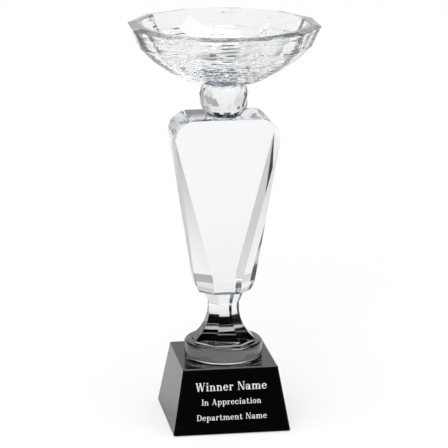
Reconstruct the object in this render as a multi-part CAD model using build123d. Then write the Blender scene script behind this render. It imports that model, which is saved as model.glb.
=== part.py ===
from build123d import *
import math
import os

# Crystal presentation cup: a cut bowl on a faceted ball, a keystone column and an octagonal stem,
# a round disc, and a black plinth with filled lettering. Millimetres, +Z up, front face towards -Y.
# The origin is at the centre of the felt pad's underside.

# felt pad under the plinth
pad_thickness = 0.8
pad_tack = 0.15  # self-adhesive layer between pad and plinth
pad_inset = 4.0  # from the plinth's lower edges

# plinth: a truncated square pyramid
plinth_foot = 100.0
plinth_top = 80.6
plinth_height = 55.6
plinth_bevel = 0.9

# clear bonding film between the crystal pieces
bond_film = 0.15
bond_inset = 1.2  # film stops this far inside the smaller of the two faces

# round disc
disc_radius = 33.2
disc_thickness = 13.5
disc_bevel = 1.3

# octagonal stem, sizes across the flats halved
stem_height = 43.8
stem_foot_step = 5.3  # disc edge to the corners of the foot
stem_foot_edge = 1.3
stem_foot_bevel = 0.9
stem_neck_half = 12.7
stem_neck_low = 29.0
stem_neck_high = 33.0
stem_head_ledge = 2.1  # column underside left bare in front of and behind the stem head

# keystone column
column_height = 151.2
column_depth = 47.0
column_top_half = 46.6  # half width at the top, before the shoulders are rounded
column_waist_half = 26.3  # half width where the heel bevels start
column_shoulder = 17.0
column_corner_cut = 14.0  # corner bevel at the waist, measured along each face
column_corner_end = 135.0  # height where the corner bevel has run out
heel_height = 13.6
heel_mid = (6.5, 1.3)  # height and inset of the break between the two heel bevels
heel_low = (1.8, 3.4)
heel_base_inset = 4.8

# faceted ball with two ground flats
ball_radius = 21.0
ball_lower = 15.0  # centre to lower flat
ball_upper = 11.25  # centre to upper flat
ball_sides = 12
ball_rows = (0.29, 0.70, 0.91)  # facet rows between the flats, as shares of the height

# cut bowl
bowl_height = 51.4
bowl_rim_radius = 80.8  # over the corners
bowl_rim_drop = 1.5  # outer rim edge below the lip
bowl_lip_step = 7.3  # rim corners to lip corners
bowl_wall = 12.4  # rim corners to the mouth
bowl_floor = 9.4
bowl_foot_step = 1.5  # bowl foot corners outside the ball's upper flat
bowl_fullness = 0.65
bowl_sides = 12
bowl_row_ends = (0.0, 15.0, 30.0, 45.0, 62.5, 90.0)  # degrees round the profile from foot to rim

# lettering
letter_recess = 0.5
letter_fill = 0.4
letter_rise = -0.3  # middle line above the centre of the front face
name_height = 7.2  # of a capital
line_height = 5.2
line_pitch = 13.0
letter_gap = 0.10  # this and the sizes below are shares of the capital's height
word_gap = 0.42
thick = 0.16  # stroke widths
thin = 0.075
serif = 0.08
x_height = 0.66
arch_half = 0.27  # half width of the arch in a small n
arch_level = 0.38

# levels of the stack
plinth_base = pad_thickness + pad_tack
disc_base = plinth_base + plinth_height + bond_film
stem_base = disc_base + disc_thickness + bond_film
column_base = stem_base + stem_height + bond_film
ball_base = column_base + column_height + bond_film
bowl_base = ball_base + ball_lower + ball_upper + bond_film

plinth_slant = math.atan2((plinth_foot - plinth_top) / 2, plinth_height)
stem_foot_half = (disc_radius - stem_foot_step) * math.cos(math.pi / 8)
stem_head_half = column_depth / 2 - heel_base_inset - stem_head_ledge
ball_lower_flat = math.sqrt(ball_radius**2 - ball_lower**2)
ball_upper_flat = math.sqrt(ball_radius**2 - ball_upper**2)
bowl_foot_radius = ball_upper_flat + bowl_foot_step
seated = (Align.CENTER, Align.CENTER, Align.MIN)  # solids that stand on their level


def ring(radius, height, sides, turn):
    """Corners of a level regular polygon; turn is in steps of one side."""
    step = 2 * math.pi / sides
    return [Vector(radius * math.cos((i + turn) * step), radius * math.sin((i + turn) * step), height)
            for i in range(sides)]


def solid_between(rings, staggered):
    """A closed solid through level rings: flat panels, or triangles where the rings are staggered."""
    sides = len(rings[0])
    faces = [Face(Wire.make_polygon(rings[0])), Face(Wire.make_polygon(rings[-1]))]
    for row, (low, high) in enumerate(zip(rings, rings[1:])):
        for i in range(sides):
            j = (i + 1) % sides
            if not staggered:
                faces.append(Face(Wire.make_polygon([low[i], low[j], high[j], high[i]])))
            elif row % 2 == 0:
                faces.append(Face(Wire.make_polygon([low[i], low[j], high[i]])))
                faces.append(Face(Wire.make_polygon([high[i], low[j], high[j]])))
            else:
                faces.append(Face(Wire.make_polygon([low[i], high[j], high[i]])))
                faces.append(Face(Wire.make_polygon([low[i], low[j], high[j]])))
    return Solid(Shell(faces))


def slab(outline, span):
    """A symmetric outline (half widths against heights) extruded both ways along Y."""
    return extrude(Plane.XZ * outline, amount=span, both=True)


def make_pad():
    side = plinth_foot - 2 * pad_inset
    return Box(side, side, pad_thickness, align=seated)


def make_pad_tack():
    side = plinth_foot - 2 * pad_inset
    return Pos(0, 0, pad_thickness) * Box(side, side, pad_tack, align=seated)


def bar(x0, x1, y0, y1):
    return Pos((x0 + x1) / 2, (y0 + y1) / 2) * Rectangle(x1 - x0, y1 - y0)


def slope(x0, x1, width, y0=0.0, y1=1.0):
    return make_face(Polyline((x0, y0), (x0 + width, y0), (x1 + width, y1), (x1, y1), close=True))


def round_stroke(x, y, rx, ry):
    """A whole round letter stroke, thick at the sides and thin above and below."""
    return Pos(x, y) * Ellipse(rx, ry) - Pos(x, y) * Ellipse(rx - thick, ry - thin)


def post(x, width, top=True, foot=True):
    """An upright capital stroke with serifs."""
    shape = bar(x, x + width, 0, 1)
    if foot:
        shape += bar(x - serif, x + width + serif, 0, thin)
    if top:
        shape += bar(x - serif, x + width + serif, 1 - thin, 1)
    return shape


def stub(x, foot=0.0, flag=True):
    """An upright small-letter stroke, with a foot serif and a flag at its top left."""
    shape = bar(x, x + thick, foot, x_height) + bar(x - serif, x + thick + serif, foot, foot + thin)
    if flag:
        shape += bar(x - serif, x + thick, x_height - thin, x_height)
    return shape


def arch(x):
    """The half round from one small-letter stroke over to the next."""
    crown = round_stroke(x + arch_half, arch_level, arch_half, x_height - arch_level)
    return crown & bar(x, x + 1, arch_level, 1)


def leg(x):
    """The stroke that an arch comes down into."""
    side = x + 2 * arch_half - thick
    return bar(side, side + thick, 0, arch_level) + bar(side - serif, side + thick + serif, 0, thin)


def small_round():
    return round_stroke(0.30, x_height / 2, 0.30, x_height / 2 + 0.015)


def glyph_big_a():
    level = bar(0.16, 0.62, 0.30, 0.30 + thin) + bar(-0.02, 0.2, 0, thin) + bar(0.5, 0.84, 0, thin)
    return slope(0.05, 0.36, thin + 0.01) + slope(0.58, 0.32, thick + 0.01) + level


def glyph_big_d():
    lobe = round_stroke(0.34, 0.5, 0.46, 0.5) & bar(0.34, 0.82, 0, 1)
    return post(serif, thick) + lobe + bar(serif, 0.34, 1 - thin, 1) + bar(serif, 0.34, 0, thin)


def glyph_big_w():
    tops = bar(-0.04, 0.26, 1 - thin, 1) + bar(0.40, 0.66, 1 - thin, 1) + bar(0.92, 1.12, 1 - thin, 1)
    strokes = slope(0.24, 0.04, thick) + slope(0.29, 0.50, thin) + slope(0.68, 0.46, thick)
    return strokes + slope(0.73, 0.98, thin) + tops


def glyph_a():
    crown = round_stroke(0.27, 0.44, 0.27, x_height - 0.44) & bar(0.02, 0.6, 0.47, 1)
    belly = round_stroke(0.25, 0.19, 0.24, 0.20) & bar(0, 0.42, -0.1, 0.5)
    return crown + belly + bar(0.54 - thick, 0.54, 0, 0.48) + bar(0.40, 0.64, 0, thin)


def glyph_e():
    return small_round() - bar(0.34, 0.7, 0.17, 0.33) + bar(0.08, 0.57, 0.33, 0.33 + thin)


def glyph_m():
    second = serif + 2 * arch_half - thick
    return stub(serif) + arch(serif) + leg(serif) + arch(second) + leg(second)


def glyph_t():
    hook = round_stroke(0.31, 0.17, 0.20, 0.18) & bar(0, 0.6, -0.1, 0.17)
    return bar(0.11, 0.11 + thick, 0.16, 0.86) + bar(0, 0.44, x_height - thin, x_height) + hook


glyphs = {
    "A": glyph_big_a(),
    "D": glyph_big_d(),
    "I": post(serif, thick),
    "N": post(0.08, thin) + slope(0.60, 0.06, thick) + post(0.68, thin, foot=False),
    "W": glyph_big_w(),
    "a": glyph_a(),
    "c": small_round() - bar(0.38, 0.7, 0.20, 0.45) + bar(0.44, 0.44 + thick, 0.42, 0.53),
    "e": glyph_e(),
    "i": stub(serif) + Pos(serif + thick / 2, 0.88) * Circle(0.6 * thick),
    "m": glyph_m(),
    "n": stub(serif) + arch(serif) + leg(serif),
    "o": small_round(),
    "p": stub(serif, foot=-0.32) + Pos(serif, 0) * small_round(),
    "r": stub(serif) + (arch(serif) & bar(0, 0.46, 0.5, 1)) + bar(0.36, 0.50, 0.50, 0.62),
    "t": glyph_t(),
}


def text_line(words, height, rise):
    """One centred line of capitals; rise is its middle above the face centre."""
    placed = []
    pen = 0.0
    for letter in words:
        if letter == " ":
            pen += word_gap
            continue
        box = glyphs[letter].bounding_box()
        placed.append((pen - box.min.X, scale(glyphs[letter], by=height)))
        pen += box.size.X + letter_gap
    width = pen - letter_gap
    return [Pos((x - width / 2) * height, rise - height / 2) * shape for x, shape in placed]


def front_plane(inward):
    """Sketch plane on the plinth's front face, moved inwards along its normal."""
    middle = (plinth_foot + plinth_top) / 4
    normal = Vector(0, -math.cos(plinth_slant), math.sin(plinth_slant))
    origin = Vector(0, -middle, plinth_base + plinth_height / 2) - normal * inward
    return Plane(origin=origin, x_dir=(1, 0, 0), z_dir=normal)


def make_letters(top, bottom):
    """The lettering as solids between two depths under the front face."""
    shapes = text_line("Winner Name", name_height, letter_rise + line_pitch)
    shapes += text_line("In Appreciation", line_height, letter_rise)
    shapes += text_line("Department Name", line_height, letter_rise - line_pitch)
    plane = front_plane(bottom)
    solids = []
    for shape in shapes:
        solids += extrude(plane * shape, amount=bottom - top).solids()
    return solids


def make_plinth():
    foot = Pos(0, 0, plinth_base) * Rectangle(plinth_foot, plinth_foot)
    top = Pos(0, 0, plinth_base + plinth_height) * Rectangle(plinth_top, plinth_top)
    block = loft([foot, top])
    block = chamfer(block.edges(), plinth_bevel)
    return block - make_letters(-letter_recess, letter_recess)


def make_lettering():
    return Compound(make_letters(letter_recess - letter_fill, letter_recess))


def make_disc():
    disc = Pos(0, 0, disc_base) * Cylinder(disc_radius, disc_thickness, align=seated)
    return chamfer(disc.edges().filter_by(GeomType.CIRCLE), disc_bevel)


def octagon_film(half, height):
    corner = (half - bond_inset) / math.cos(math.pi / 8)
    return extrude(Pos(0, 0, height) * RegularPolygon(corner, 8, rotation=22.5), amount=bond_film)


def round_film(radius, height):
    return Pos(0, 0, height) * Cylinder(radius - bond_inset, bond_film, align=seated)


def make_stem():
    """Eight identical faces: four crossed slabs of one waisted outline."""
    shoulder = (stem_foot_half - stem_foot_bevel, stem_foot_edge + stem_foot_bevel)
    lower = Polyline((0, 0), (stem_foot_half, 0), (stem_foot_half, stem_foot_edge), shoulder)
    flare = TangentArc((stem_neck_half, stem_neck_low), shoulder, tangent=(0, -1))
    upper = Polyline((stem_neck_half, stem_neck_low), (stem_neck_half, stem_neck_high),
                     (stem_head_half, stem_height), (0, stem_height))
    half = make_face([*lower.edges(), *flare.edges(), *upper.edges(), Line((0, stem_height), (0, 0)).edge()])
    sheet = slab(half + mirror(half, Plane.YZ), disc_radius)
    stem = sheet
    for turn in (45, 90, 135):
        stem = stem & (Rot(0, 0, turn) * sheet)
    return Pos(0, 0, stem_base) * stem


def column_outline(waist, top, top_height):
    """Half widths of the column between the heel and the top, with the three heel steps."""
    reach = (column_height - heel_height) / (top_height - heel_height)
    top_half = waist + (top - waist) * reach
    right = [(waist - heel_base_inset, 0), (waist - heel_low[1], heel_low[0]),
             (waist - heel_mid[1], heel_mid[0]), (waist, heel_height), (top_half, column_height)]
    left = [(-x, y) for x, y in reversed(right)]
    return make_face(Polyline(*right, *left, close=True))


def make_column():
    """Front, side and two diagonal outlines crossed: tapered corner bevels and eight heel facets."""
    front = column_outline(column_waist_half, column_top_half, column_height)
    front = fillet(front.vertices().group_by(Axis.Y)[-1], column_shoulder)
    side = column_outline(column_depth / 2, column_depth / 2, column_height)
    corner_waist = (column_waist_half + column_depth / 2 - column_corner_cut) / math.sqrt(2)
    rise = (column_corner_end - heel_height) / (column_height - heel_height)
    half_there = column_waist_half + (column_top_half - column_waist_half) * rise
    corner_top = (half_there + column_depth / 2) / math.sqrt(2)
    diagonal = column_outline(corner_waist, corner_top, column_corner_end)
    span = 2 * column_top_half
    column = slab(front, span) & (Rot(0, 0, 90) * slab(side, span))
    for turn in (45, 135):
        column = column & (Rot(0, 0, turn) * slab(diagonal, span))
    return Pos(0, 0, column_base) * column


def make_ball():
    """Triangular facets between staggered rings on a sphere, ground flat above and below."""
    height = ball_lower + ball_upper
    levels = [0.0] + [share * height for share in ball_rows] + [height]
    rings = []
    for row, level in enumerate(levels):
        radius = math.sqrt(ball_radius**2 - (level - ball_lower) ** 2)
        rings.append(ring(radius, ball_base + level, ball_sides, 0.5 * (row % 2)))
    return solid_between(rings, staggered=True)


def make_bowl():
    """Flat cut panels outside, a polished spherical hollow inside, a bevelled rim."""
    rim_level = bowl_height - bowl_rim_drop
    rings = []
    for angle in (math.radians(end) for end in bowl_row_ends):
        radius = bowl_foot_radius + (bowl_rim_radius - bowl_foot_radius) * math.sin(angle)
        level = rim_level * (1 - math.cos(angle)) ** bowl_fullness
        rings.append(ring(radius, bowl_base + level, bowl_sides, 0.5))
    rings.append(ring(bowl_rim_radius - bowl_lip_step, bowl_base + bowl_height, bowl_sides, 0.5))
    mouth = bowl_rim_radius - bowl_wall
    depth = bowl_height - bowl_floor
    sphere = (mouth**2 + depth**2) / (2 * depth)
    hollow = Pos(0, 0, bowl_base + bowl_floor + sphere) * Sphere(sphere)
    return solid_between(rings, staggered=False) - hollow


parts = {
    "felt_pad": make_pad(),
    "felt_pad_adhesive": make_pad_tack(),
    "black_plinth": make_plinth(),
    "etched_lettering": make_lettering(),
    "disc_bond_film": round_film(disc_radius - disc_bevel, disc_base - bond_film),
    "round_disc": make_disc(),
    "stem_bond_film": octagon_film(stem_foot_half, stem_base - bond_film),
    "octagonal_stem": make_stem(),
    "column_bond_film": octagon_film(stem_head_half, column_base - bond_film),
    "keystone_column": make_column(),
    "ball_bond_film": round_film(ball_lower_flat, ball_base - bond_film),
    "faceted_ball": make_ball(),
    "bowl_bond_film": round_film(ball_upper_flat, bowl_base - bond_film),
    "cut_bowl": make_bowl(),
}

os.makedirs("parts", exist_ok=True)
for name, shape in parts.items():
    export_step(shape, f"parts/{name}.step")
    print(name, round(shape.volume, 2))
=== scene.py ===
import math
import random
import bpy
import bmesh
from mathutils import Matrix, Vector, noise


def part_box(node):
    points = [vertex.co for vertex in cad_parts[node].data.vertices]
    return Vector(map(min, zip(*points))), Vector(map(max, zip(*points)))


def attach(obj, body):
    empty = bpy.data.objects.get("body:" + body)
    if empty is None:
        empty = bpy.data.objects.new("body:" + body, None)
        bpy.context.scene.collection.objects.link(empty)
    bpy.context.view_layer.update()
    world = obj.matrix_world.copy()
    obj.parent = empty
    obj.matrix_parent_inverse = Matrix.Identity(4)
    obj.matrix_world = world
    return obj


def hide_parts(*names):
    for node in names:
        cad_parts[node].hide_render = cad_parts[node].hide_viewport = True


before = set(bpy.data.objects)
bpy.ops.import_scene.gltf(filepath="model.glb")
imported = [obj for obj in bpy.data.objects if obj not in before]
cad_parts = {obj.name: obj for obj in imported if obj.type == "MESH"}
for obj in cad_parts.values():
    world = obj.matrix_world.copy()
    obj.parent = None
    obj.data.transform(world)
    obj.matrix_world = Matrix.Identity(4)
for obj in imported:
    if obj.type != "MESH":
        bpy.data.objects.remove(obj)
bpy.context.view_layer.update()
mm = 0.001
scene = bpy.context.scene
print("frame loaded:", len(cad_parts), "nodes")

# camera: standing height, in front and a little to the left, a long lens (degrees, metres, lens in mm)
camera = {"azimuth": -9.135, "distance": 2.1047, "height": 0.7279, "pitch": 14.822, "heading": -9.146,
          "roll": 0.1665, "focal": 207.2, "sensor": 36.0, "near": 0.05, "far": 60.0}


def makeCamera(c):
    data = bpy.data.cameras.new("camera")
    data.lens = c["focal"]
    data.sensor_width = c["sensor"]
    data.clip_start = c["near"]
    data.clip_end = c["far"]
    cam = bpy.data.objects.new("camera", data)
    scene.collection.objects.link(cam)
    a = math.radians(c["azimuth"])
    spot = Vector((math.sin(a) * c["distance"], -math.cos(a) * c["distance"], c["height"]))
    turn = Matrix.Rotation(math.radians(c["heading"]), 4, "Z")
    tip = Matrix.Rotation(math.radians(90 - c["pitch"]), 4, "X")
    roll = Matrix.Rotation(math.radians(c["roll"]), 4, "Z")
    cam.matrix_world = Matrix.Translation(spot) @ turn @ tip @ roll
    scene.camera = cam


makeCamera(camera)
scene.view_settings.view_transform = "Standard"
scene.cycles.max_bounces = 28  # light goes through many faces of the clear stack
scene.cycles.transmission_bounces = 28
scene.cycles.glossy_bounces = 16
scene.cycles.transparent_max_bounces = 32
scene.cycles.caustics_reflective = False
print("camera placed")


# small helpers for node materials
def newMaterial(name):
    m = bpy.data.materials.new(name)
    m.use_nodes = True
    nt = m.node_tree
    nt.nodes.clear()
    return m, nt, nt.nodes.new("ShaderNodeOutputMaterial")


def add(nt, kind, values=None, links=None, **props):
    n = nt.nodes.new("ShaderNode" + kind)
    for key, value in props.items():
        setattr(n, key, value)
    for key, value in (values or {}).items():
        n.inputs[key].default_value = value
    for key, source in (links or {}).items():
        nt.links.new(source, n.inputs[key])
    return n


def grain(nt, size, detail=2.0, rough=0.5):
    where = add(nt, "TexCoord")
    return add(nt, "TexNoise", {"Scale": 1 / size, "Detail": detail, "Roughness": rough},
               {"Vector": where.outputs["Object"]})


def remap(nt, source, span, low, high):
    return add(nt, "MapRange", {"From Min": span[0], "From Max": span[1], "To Min": low, "To Max": high},
               {"Value": source}).outputs[0]


def calc(nt, operation, values, links):
    return add(nt, "Math", values, links, operation=operation).outputs[0]


def grey(level):
    return (level, level, level, 1.0)


# crystal: two clear layers of slightly different index give the coloured fringes of cut glass
crystalLook = {"lowIndex": 1.512, "highIndex": 1.534,
               "warm": (1.12, 1.0, 0.88, 1.0), "cool": (0.88, 1.0, 1.12, 1.0),
               "smudge": 0.003, "smudgeSize": 14 * mm, "smudgeSpan": (0.52, 0.75),
               "ripple": 0.002, "rippleSize": 9 * mm, "rippleHeight": 1 * mm,
               "tint": (0.88, 0.90, 0.915, 1.0), "density": 12.0}


def makeCrystal(name, c):
    m, nt, out = newMaterial(name)
    smudge = grain(nt, c["smudgeSize"], 4.0, 0.6)
    haze = remap(nt, smudge.outputs["Fac"], c["smudgeSpan"], 0.0, c["smudge"])
    wave = grain(nt, c["rippleSize"], 1.0)
    bump = add(nt, "Bump", {"Strength": c["ripple"], "Distance": c["rippleHeight"]},
               {"Height": wave.outputs["Fac"]})
    layers = []
    for tint, index in ((c["warm"], c["lowIndex"]), (c["cool"], c["highIndex"])):
        layers.append(add(nt, "BsdfGlass", {"Color": tint, "IOR": index},
                          {"Roughness": haze, "Normal": bump.outputs[0]}))
    mix = add(nt, "MixShader", {"Fac": 0.5}, {1: layers[0].outputs[0], 2: layers[1].outputs[0]})
    body = add(nt, "VolumeAbsorption", {"Color": c["tint"], "Density": c["density"]})
    nt.links.new(mix.outputs[0], out.inputs["Surface"])
    nt.links.new(body.outputs[0], out.inputs["Volume"])
    return m


# the resin between two clear pieces matches their index, so only its upright rim shows a little
bondLook = {"rim": 0.10, "rimColour": (0.85, 0.87, 0.9, 1.0), "rimRough": 0.25, "upright": (0.2, 0.8),
            "fleckSize": 0.6 * mm, "fleckSpan": (0.3, 0.7), "fleckLow": 0.4}


def makeBond(name, c):
    m, nt, out = newMaterial(name)
    clear = add(nt, "BsdfTransparent")
    rim = add(nt, "BsdfPrincipled", {"Base Color": c["rimColour"], "Roughness": c["rimRough"]})
    shape = add(nt, "NewGeometry")
    split = add(nt, "SeparateXYZ", None, {0: shape.outputs["True Normal"]})
    facing = calc(nt, "ABSOLUTE", None, {0: split.outputs["Z"]})
    flecks = grain(nt, c["fleckSize"])
    level = remap(nt, facing, c["upright"], c["rim"], 0.0)
    fleck = remap(nt, flecks.outputs["Fac"], c["fleckSpan"], c["fleckLow"], 1.0)
    share = calc(nt, "MULTIPLY", None, {0: level, 1: fleck})
    mix = add(nt, "MixShader", None, {0: share, 1: clear.outputs[0], 2: rim.outputs[0]})
    nt.links.new(mix.outputs[0], out.inputs["Surface"])
    return m


# a crystal face wetted by clear resin: light goes straight through it
def makeBondedFace(name):
    m, nt, out = newMaterial(name)
    nt.links.new(add(nt, "BsdfTransparent").outputs[0], out.inputs["Surface"])
    return m


# the disc's underside, wetted by black resin: only a little of the light is turned back up
seatLook = {"index": 1.52, "turned": 0.18, "rough": 0.02}


def makeSeatedFace(name, c):
    m, nt, out = newMaterial(name)
    clear = add(nt, "BsdfTransparent")
    mirror = add(nt, "BsdfGlass", {"Color": grey(1.0), "IOR": c["index"], "Roughness": c["rough"]})
    mix = add(nt, "MixShader", {"Fac": c["turned"]}, {1: clear.outputs[0], 2: mirror.outputs[0]})
    nt.links.new(mix.outputs[0], out.inputs["Surface"])
    return m


# polished black glass: deep black, faint handling marks, hairline polish
blackLook = {"colour": (0.0012, 0.0012, 0.0016, 1.0), "index": 1.52, "shine": 0.27,
             "gloss": 0.012, "marks": 0.06, "markSize": 11 * mm, "markSpan": (0.5, 0.78),
             "hairline": 0.015, "hairlineSize": 0.35 * mm, "hairlineHeight": 0.02 * mm}


def makeBlackGlass(name, c):
    m, nt, out = newMaterial(name)
    marks = grain(nt, c["markSize"], 5.0, 0.65)
    rough = remap(nt, marks.outputs["Fac"], c["markSpan"], c["gloss"], c["marks"])
    lines = grain(nt, c["hairlineSize"], 2.0)
    bump = add(nt, "Bump", {"Strength": c["hairline"], "Distance": c["hairlineHeight"]},
               {"Height": lines.outputs["Fac"]})
    glass = add(nt, "BsdfPrincipled",
                {"Base Color": c["colour"], "IOR": c["index"], "Specular IOR Level": c["shine"]},
                {"Roughness": rough, "Normal": bump.outputs[0]})
    nt.links.new(glass.outputs[0], out.inputs["Surface"])
    return m


# plain finishes, with a grain in their colour, roughness and height
enamelLook = {"dark": (0.80, 0.80, 0.79, 1), "pale": (0.97, 0.97, 0.965, 1), "size": 0.12 * mm,
              "rough": 0.5, "height": 0.25, "shine": 0.5, "nap": 0.0}
feltLook = {"dark": (0.006, 0.006, 0.007, 1), "pale": (0.03, 0.03, 0.033, 1), "size": 0.35 * mm,
            "rough": 0.95, "height": 0.8, "shine": 0.2, "nap": 0.3}
tackLook = {"dark": (0.45, 0.44, 0.40, 1), "pale": (0.62, 0.60, 0.56, 1), "size": 0.5 * mm,
            "rough": 0.35, "height": 0.1, "shine": 0.5, "nap": 0.0}
darkResinLook = {"dark": grey(0.001), "pale": grey(0.002), "size": 0.5 * mm,
                 "rough": 0.6, "height": 0.02, "shine": 0.05, "nap": 0.0}
grainShape = {"coarse": 6, "darkUpTo": 0.12, "paleFrom": 0.40, "span": (0.2, 0.8), "swing": 0.15}


def makeGrainy(name, c, g):
    m, nt, out = newMaterial(name)
    coarse = grain(nt, c["size"] * g["coarse"], 3.0)
    fine = grain(nt, c["size"], 4.0, 0.7)
    both = calc(nt, "MULTIPLY", None, {0: coarse.outputs["Fac"], 1: fine.outputs["Fac"]})
    ramp = add(nt, "ValToRGB", None, {0: both})
    dark, pale = ramp.color_ramp.elements
    dark.position = g["darkUpTo"]
    dark.color = c["dark"]
    pale.position = g["paleFrom"]
    pale.color = c["pale"]
    smoothest = c["rough"] * (1 - g["swing"])
    roughest = min(1.0, c["rough"] * (1 + g["swing"]))
    rough = remap(nt, fine.outputs["Fac"], g["span"], smoothest, roughest)
    bump = add(nt, "Bump", {"Strength": c["height"], "Distance": c["size"]}, {"Height": fine.outputs["Fac"]})
    coat = add(nt, "BsdfPrincipled", {"Specular IOR Level": c["shine"], "Sheen Weight": c["nap"]},
               {"Base Color": ramp.outputs[0], "Roughness": rough, "Normal": bump.outputs[0]})
    nt.links.new(coat.outputs[0], out.inputs["Surface"])
    return m


crystal = makeCrystal("clearCrystal", crystalLook)
cutCrystal = makeCrystal("cutCrystal", crystalLook)
bondedFace = makeBondedFace("bondedFace")
seatedFace = makeSeatedFace("seatedFace", seatLook)
bondResin = makeBond("bondResin", bondLook)
darkResin = makeGrainy("darkResin", darkResinLook, grainShape)
blackGlass = makeBlackGlass("blackGlass", blackLook)
enamel = makeGrainy("whiteEnamel", enamelLook, grainShape)
felt = makeGrainy("blackFelt", feltLook, grainShape)
tack = makeGrainy("tackFilm", tackLook, grainShape)
print("materials mixed")

# finishes of the CAD nodes that stay as they are
finishes = {"felt_pad": felt, "felt_pad_adhesive": tack, "black_plinth": blackGlass,
            "etched_lettering": enamel, "disc_bond_film": darkResin, "stem_bond_film": bondResin,
            "column_bond_film": bondResin, "ball_bond_film": bondResin, "bowl_bond_film": bondResin}
for nodeName, finish in finishes.items():
    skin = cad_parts[nodeName].data
    skin.materials.clear()
    skin.materials.append(finish)

# cut pieces of the stack: ground flat, arrises polished off, clear where the resin joins them
cutting = {"arris": 0.22 * mm, "arrisSteps": 2, "crispAngle": 9.5, "flatAngle": 0.2, "weld": 0.002 * mm,
           "level": 0.01 * mm, "slit": 0.0001 * mm, "seatGap": 0.03 * mm}
bondSides = {"stem_bond_film": 8, "column_bond_film": 8, "ball_bond_film": 32}
bondedSlot = 1  # slot 0 of every clear piece is the polished crystal
seatedSlot = 2


def readPiece(nodeName, c):
    bm = bmesh.new()
    bm.from_mesh(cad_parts[nodeName].data)
    bmesh.ops.remove_doubles(bm, verts=bm.verts, dist=c["weld"])
    bmesh.ops.dissolve_limit(bm, angle_limit=math.radians(c["flatAngle"]), verts=bm.verts, edges=bm.edges)
    limit = math.radians(c["crispAngle"])
    crisp = [e for e in bm.edges if len(e.link_faces) == 2 and e.calc_face_angle() > limit]
    bmesh.ops.bevel(bm, geom=crisp, offset=c["arris"], offset_type="OFFSET", segments=c["arrisSteps"],
                    profile=0.5, affect="EDGES", clamp_overlap=True)
    return bm


def levelFaces(bm, level):
    return [f for f in bm.faces if all(abs(v.co.z - level) < cutting["level"] for v in f.verts)]


# splits a level face along the film's outline, and makes the part under the film a bonded one
def markBond(bm, film):
    low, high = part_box(film)
    reach = high[0]
    outward = []
    for k in range(bondSides[film]):
        a = 2 * math.pi * k / bondSides[film]
        outward.append(Vector((math.cos(a), math.sin(a), 0)))
    for level in (low[2], high[2]):
        for out in outward:
            faces = levelFaces(bm, level)
            if not faces:
                break
            edges = list({e for f in faces for e in f.edges})
            verts = list({v for f in faces for v in f.verts})
            bmesh.ops.bisect_plane(bm, geom=faces + edges + verts, plane_co=out * reach, plane_no=out,
                                   dist=cutting["slit"])
        for f in levelFaces(bm, level):
            middle = f.calc_center_median()
            if all(middle.dot(out) < reach for out in outward):
                f.material_index = bondedSlot


# raises the underside just clear of the black resin's film, so that light can turn in it
def seatDisc(bm):
    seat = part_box("disc_bond_film")[1][2]
    for v in bm.verts:
        if v.co.z < seat + cutting["level"]:
            v.co.z = seat + cutting["seatGap"]
    for f in bm.faces:
        if all(v.co.z < seat + 2 * cutting["seatGap"] for v in f.verts):
            f.material_index = seatedSlot


def finishPiece(name, bm, materials, nodeName):
    for f in bm.faces:
        f.smooth = True
    data = bpy.data.meshes.new(name)
    bm.to_mesh(data)
    bm.free()
    for m in materials:
        data.materials.append(m)
    piece = bpy.data.objects.new(name, data)
    scene.collection.objects.link(piece)
    weights = piece.modifiers.new("flatFacets", "WEIGHTED_NORMAL")
    weights.keep_sharp = True
    weights.weight = 100  # large facets set the normals, so they stay flat beside their arrises
    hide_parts(nodeName)
    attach(piece, "root")
    return piece


clearStack = {"round_disc": ("stem_bond_film",),
              "octagonal_stem": ("stem_bond_film", "column_bond_film"),
              "keystone_column": ("column_bond_film", "ball_bond_film"),
              "faceted_ball": ("ball_bond_film",)}
for nodeName, films in clearStack.items():
    shape = readPiece(nodeName, cutting)
    for film in films:
        markBond(shape, film)
    if nodeName == "faceted_ball":  # its whole top flat is glued to the bowl
        for f in levelFaces(shape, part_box("bowl_bond_film")[0][2]):
            f.material_index = bondedSlot
    if nodeName == "round_disc":
        seatDisc(shape)
    finishPiece("cut_" + nodeName, shape, (crystal, bondedFace, seatedFace), nodeName)
    print("cut", nodeName)

# bowl: twelve flat panels in five rows, chiselled with level flutes, around a polished round hollow
bowl = {"sides": 12, "columns": 26, "fullness": 0.65, "rowEnds": (0.0, 15.0, 30.0, 45.0, 62.5, 90.0),
        "footBeyondBond": 2.7 * mm, "rimDrop": 1.5 * mm, "lipStep": 7.3 * mm, "wall": 12.4 * mm,
        "floor": 9.4 * mm, "plainBand": 1.2 * mm, "arris": 0.3 * mm, "hollowRows": 30, "sharpAngle": 5.0,
        "cornerCap": 0.992, "cornerRun": 9 * mm,  # panel corners are rubbed down, fading out at the rim
        "flute": 3.2 * mm, "fluteSteps": 2, "shallow": 0.01 * mm, "deep": 0.6 * mm,
        "chip": (3, 13),  # columns that one chisel cut takes in
        "rarity": (0.6, 0.6, 0.8, 2.0, 3.0),  # one for each row: the higher, the fewer deep cuts
        "wander": 0.5 * mm, "wanderEase": 0.8 * mm, "wanderTurns": 6.9, "wanderRise": 3.91, "seed": 7}


def panelRadius(corner, a, sides):
    step = 2 * math.pi / sides
    off = (a + step / 2) % step - step / 2
    return corner * math.cos(step / 2) / math.cos(off)


def panelRow(c, angles, corner, level):
    return [(panelRadius(corner, a, c["sides"]), level) for a in angles]


def roundRow(angles, radius, level):
    return [(radius, level) for _ in angles]


# corner radius and level where each row of panels ends
def rowEndPoints(c, foot, rim, base, rimLevel):
    ends = []
    for end in c["rowEnds"]:
        t = math.radians(end)
        rise = (1 - math.cos(t)) ** c["fullness"]
        ends.append((foot + (rim - foot) * math.sin(t), base + (rimLevel - base) * rise))
    return ends


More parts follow.
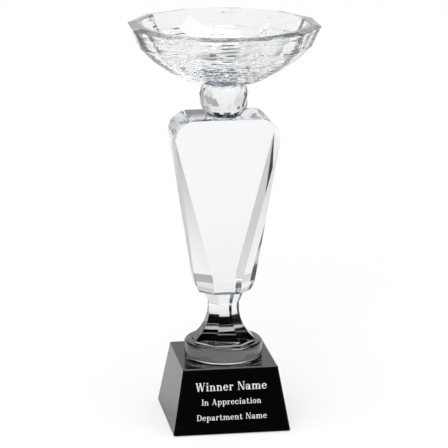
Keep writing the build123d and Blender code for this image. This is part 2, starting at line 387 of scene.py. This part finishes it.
# how deep each column of one flute is cut, chip by chip round the bowl
def chipForces(c, dice, count, rarity):
    forces = []
    while len(forces) < count:
        span = dice.randint(*c["chip"])
        first = dice.random() ** rarity
        final = dice.random() ** rarity
        forces += [first + (final - first) * i / span for i in range(span)]
    return forces[:count]


# the flutes of one row of panels, between its two ends
def fluteRows(c, dice, angles, part, lowEnd, highEnd, firstFlute):
    (r0, z0), (r1, z1) = lowEnd, highEnd
    length = math.hypot(r1 - r0, z1 - z0)
    outR = (z1 - z0) / length
    outZ = -(r1 - r0) / length
    last = part == len(c["rowEnds"]) - 2
    cutLength = length - (c["plainBand"] if last else 0.0)
    count = max(2, round(cutLength / c["flute"]))
    rows = []
    for k in range(count):
        forces = chipForces(c, dice, len(angles), c["rarity"][part])
        for q in range(c["fluteSteps"]):
            phase = q / c["fluteSteps"]
            s = (k + phase) * cutLength / count
            bite = 1 - (2 * phase - 1) ** 2
            ease = min(1.0, s / c["wanderEase"], (length - s) / c["wanderEase"])
            rub = min(1.0, (length - s) / c["cornerRun"]) if last else 1.0
            blunt = 1 - (1 - c["cornerCap"]) * rub
            row = []
            for a, force in zip(angles, forces):
                spot = Vector((math.cos(a) * c["wanderTurns"], math.sin(a) * c["wanderTurns"],
                               (firstFlute + k) * c["wanderRise"]))
                t = (s + noise.noise(spot) * c["wander"] * ease) / length
                depth = (c["shallow"] + (c["deep"] - c["shallow"]) * force) * bite
                corner = r0 + (r1 - r0) * t
                flat = min(panelRadius(corner, a, c["sides"]), corner * blunt)
                row.append((flat - depth * outR, z0 + (z1 - z0) * t - depth * outZ))
            rows.append(row)
    if last:
        for s in (cutLength, length - c["arris"]):
            t = s / length
            rows.append(panelRow(c, angles, r0 + (r1 - r0) * t, z0 + (z1 - z0) * t))
    return rows, count


# the lip slopes in from the rim to a flat top, then the polished hollow is part of a sphere
def lipAndHollowRows(c, angles, rim, rimLevel, base, top):
    rows = []
    edgeShare = c["arris"] / math.hypot(c["lipStep"], c["rimDrop"])
    for share in (edgeShare, 1 - edgeShare):
        rows.append(panelRow(c, angles, rim - c["lipStep"] * share, rimLevel + c["rimDrop"] * share))
    rows.append(panelRow(c, angles, rim - c["lipStep"] - c["arris"], top))
    mouth = rim - c["wall"]
    depth = top - base - c["floor"]
    sphere = (mouth ** 2 + depth ** 2) / (2 * depth)
    rows.append(roundRow(angles, mouth + c["arris"], top))
    reach = math.asin(mouth / sphere)
    for k in range(c["hollowRows"]):
        a = reach * (1 - k / c["hollowRows"])
        if k == 0:
            a -= c["arris"] / sphere
        level = base + c["floor"] + sphere * (1 - math.cos(a))
        rows.append(roundRow(angles, sphere * math.sin(a), level))
    return rows


def makeBowl(c):
    low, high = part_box("cut_bowl")
    base, top = low[2], high[2]
    rim = high[0] / math.cos(math.pi / c["sides"])
    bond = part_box("bowl_bond_film")[1][0]
    foot = bond + c["footBeyondBond"]
    rimLevel = top - c["rimDrop"]
    around = c["sides"] * c["columns"]
    angles = [2 * math.pi * (k / around + 0.5 / c["sides"]) for k in range(around)]
    dice = random.Random(c["seed"])
    rows = [roundRow(angles, bond, base), panelRow(c, angles, foot - c["arris"], base)]
    ends = rowEndPoints(c, foot, rim, base, rimLevel)
    flutes = 0
    for part, (lowEnd, highEnd) in enumerate(zip(ends, ends[1:])):
        newRows, count = fluteRows(c, dice, angles, part, lowEnd, highEnd, flutes)
        rows += newRows
        flutes += count
    rows += lipAndHollowRows(c, angles, rim, rimLevel, base, top)
    bm = bmesh.new()
    net = []
    for row in rows:
        net.append([bm.verts.new((r * math.cos(a), r * math.sin(a), z)) for (r, z), a in zip(row, angles)])
    under = bm.verts.new((0, 0, base))
    inner = bm.verts.new((0, 0, base + c["floor"]))
    for i in range(around):
        j = (i + 1) % around
        bm.faces.new((under, net[0][j], net[0][i])).material_index = bondedSlot
        bm.faces.new((inner, net[-1][i], net[-1][j]))
        for lowRow, highRow in zip(net, net[1:]):
            bm.faces.new((lowRow[i], lowRow[j], highRow[j], highRow[i]))
    bm.normal_update()
    piece = finishPiece("chiselled_bowl", bm, (cutCrystal, bondedFace), "cut_bowl")
    piece.data.set_sharp_from_angle(angle=math.radians(c["sharpAngle"]))


makeBowl(bowl)
print("bowl cut")

# studio: a pale paper floor and room, darker in front, above and at the sides as the crystal sees them; the
# floor's darker parts are painted shade, seen only by rays that do not come from the camera
# the side and front tones of the paper are painted shade, standing in for the dark studio around the crystal
paper = {"size": 40.0, "tone": 0.965, "glow": 0.6, "left": 0.74, "right": 0.46, "sideSpan": (0.32, 0.95),
         "swing": 0.16, "front": 0.16, "farFrontShade": 0.75, "frontSpan": (-0.34, -0.13),
         "farFrontSpan": (-0.70, -0.45)}
room = {"dome": 0.99, "seen": 0.97, "floorGlow": 0.97, "lowGlow": 0.95, "lowUpTo": 0.27,
        "highGlow": 0.01, "highFrom": 0.50, "depthSpan": (0.0, 0.92), "frontGlow": 0.04, "backGlow": 0.97}
overLight = {"spot": (0.50, -0.12, 1.95), "target": (0.50, -0.12, 0.0), "size": (1.9, 0.85),
             "turn": -17.0, "glow": 5.5}
keyLight = {"spot": (-0.9, -2.4, 1.0), "target": (0.0, 0.0, 0.03), "size": (1.2, 1.2),
            "turn": 0.0, "glow": 2.6}


def makeSoftBox(name, c):
    data = bpy.data.lights.new(name, "AREA")
    data.shape = "RECTANGLE"
    data.size, data.size_y = c["size"]
    data.energy = c["glow"] * math.pi * c["size"][0] * c["size"][1]
    box = bpy.data.objects.new(name, data)
    scene.collection.objects.link(box)
    box.location = c["spot"]
    aim = (Vector(c["target"]) - Vector(c["spot"])).to_track_quat("-Z", "Y")
    box.rotation_mode = "QUATERNION"
    box.rotation_quaternion = Matrix.Rotation(math.radians(c["turn"]), 4, "Z").to_quaternion() @ aim
    box.visible_camera = False
    return box


def makeFloor(c):
    data = bpy.data.meshes.new("floor")
    half = c["size"] / 2
    corners = [(-half, -half, 0), (half, -half, 0), (half, half, 0), (-half, half, 0)]
    data.from_pydata(corners, [], [(0, 1, 2, 3)])
    floor = bpy.data.objects.new("floor", data)
    scene.collection.objects.link(floor)
    m, nt, out = newMaterial("floorPaper")
    where = add(nt, "TexCoord")
    split = add(nt, "SeparateXYZ", None, {0: where.outputs["Object"]})
    depth = split.outputs["Y"]
    # painted shade: the paper darkens towards the left, the right and the front, for every ray that is not
    # from the camera
    across = calc(nt, "MULTIPLY_ADD", {1: -c["swing"]}, {0: depth, 2: split.outputs["X"]})
    near, far = c["sideSpan"]
    left = remap(nt, across, (-far, -near), c["left"], c["tone"])
    right = remap(nt, across, (near, far), c["tone"], c["right"])
    sideShade = calc(nt, "MINIMUM", None, {0: left, 1: right})
    front = remap(nt, depth, c["frontSpan"], c["front"], c["tone"])
    farFrontShade = remap(nt, depth, c["farFrontSpan"], c["farFrontShade"], c["front"])
    aheadShade = calc(nt, "MAXIMUM", None, {0: front, 1: farFrontShade})
    tone = calc(nt, "MINIMUM", None, {0: sideShade, 1: aheadShade})
    shaded = add(nt, "BsdfDiffuse", {"Roughness": 1.0}, {"Color": tone})
    plain = add(nt, "BsdfDiffuse", {"Color": grey(c["tone"]), "Roughness": 1.0})
    lit = add(nt, "Emission", {"Color": grey(1.0)})
    pale = add(nt, "MixShader", {"Fac": c["glow"]}, {1: plain.outputs[0], 2: lit.outputs[0]})
    # camera rays see the plain, evenly glowing paper; all other rays see the painted shade
    ray = add(nt, "LightPath")
    seen = add(nt, "MixShader", None,
               {0: ray.outputs["Is Camera Ray"], 1: shaded.outputs[0], 2: pale.outputs[0]})
    nt.links.new(seen.outputs[0], out.inputs[0])
    data.materials.append(m)


def makeRoom(c):
    world = bpy.data.worlds.new("studio")
    scene.world = world
    world.use_nodes = True
    world.cycles.sampling_method = "NONE"
    nt = world.node_tree
    nt.nodes.clear()
    out = nt.nodes.new("ShaderNodeOutputWorld")
    where = add(nt, "TexCoord")
    split = add(nt, "SeparateXYZ", None, {0: where.outputs["Generated"]})
    height = add(nt, "ValToRGB", None, {0: split.outputs["Z"]})
    ramp = height.color_ramp.elements
    ramp[0].position = 0.0
    ramp[0].color = grey(c["floorGlow"])
    ramp[1].position = c["highFrom"]
    ramp[1].color = grey(c["highGlow"])
    ramp.new(c["lowUpTo"]).color = grey(c["lowGlow"])
    back = remap(nt, split.outputs["Y"], c["depthSpan"], c["frontGlow"], c["backGlow"])
    shade = add(nt, "Mix", {0: 1.0}, {6: height.outputs[0], 7: back},
                data_type="RGBA", blend_type="MULTIPLY")
    glow = add(nt, "Background", None, {0: shade.outputs[2]})
    dome = add(nt, "Background", {0: grey(c["dome"])})  # lights the floor and every matt face evenly
    pale = add(nt, "Background", {0: grey(c["seen"])})
    ray = add(nt, "LightPath")
    soft = add(nt, "MixShader", None,
               {0: ray.outputs["Is Diffuse Ray"], 1: glow.outputs[0], 2: dome.outputs[0]})
    seen = add(nt, "MixShader", None,
               {0: ray.outputs["Is Camera Ray"], 1: soft.outputs[0], 2: pale.outputs[0]})
    nt.links.new(seen.outputs[0], out.inputs[0])


makeFloor(paper)
makeRoom(room)
overBox = makeSoftBox("overBox", overLight)
overBox.visible_diffuse = False  # only shows in polished faces
keyBox = makeSoftBox("keyBox", keyLight)
keyBox.visible_glossy = False  # lights the lettering without a glare on the glass
keyBox.visible_transmission = False
print("studio lit")
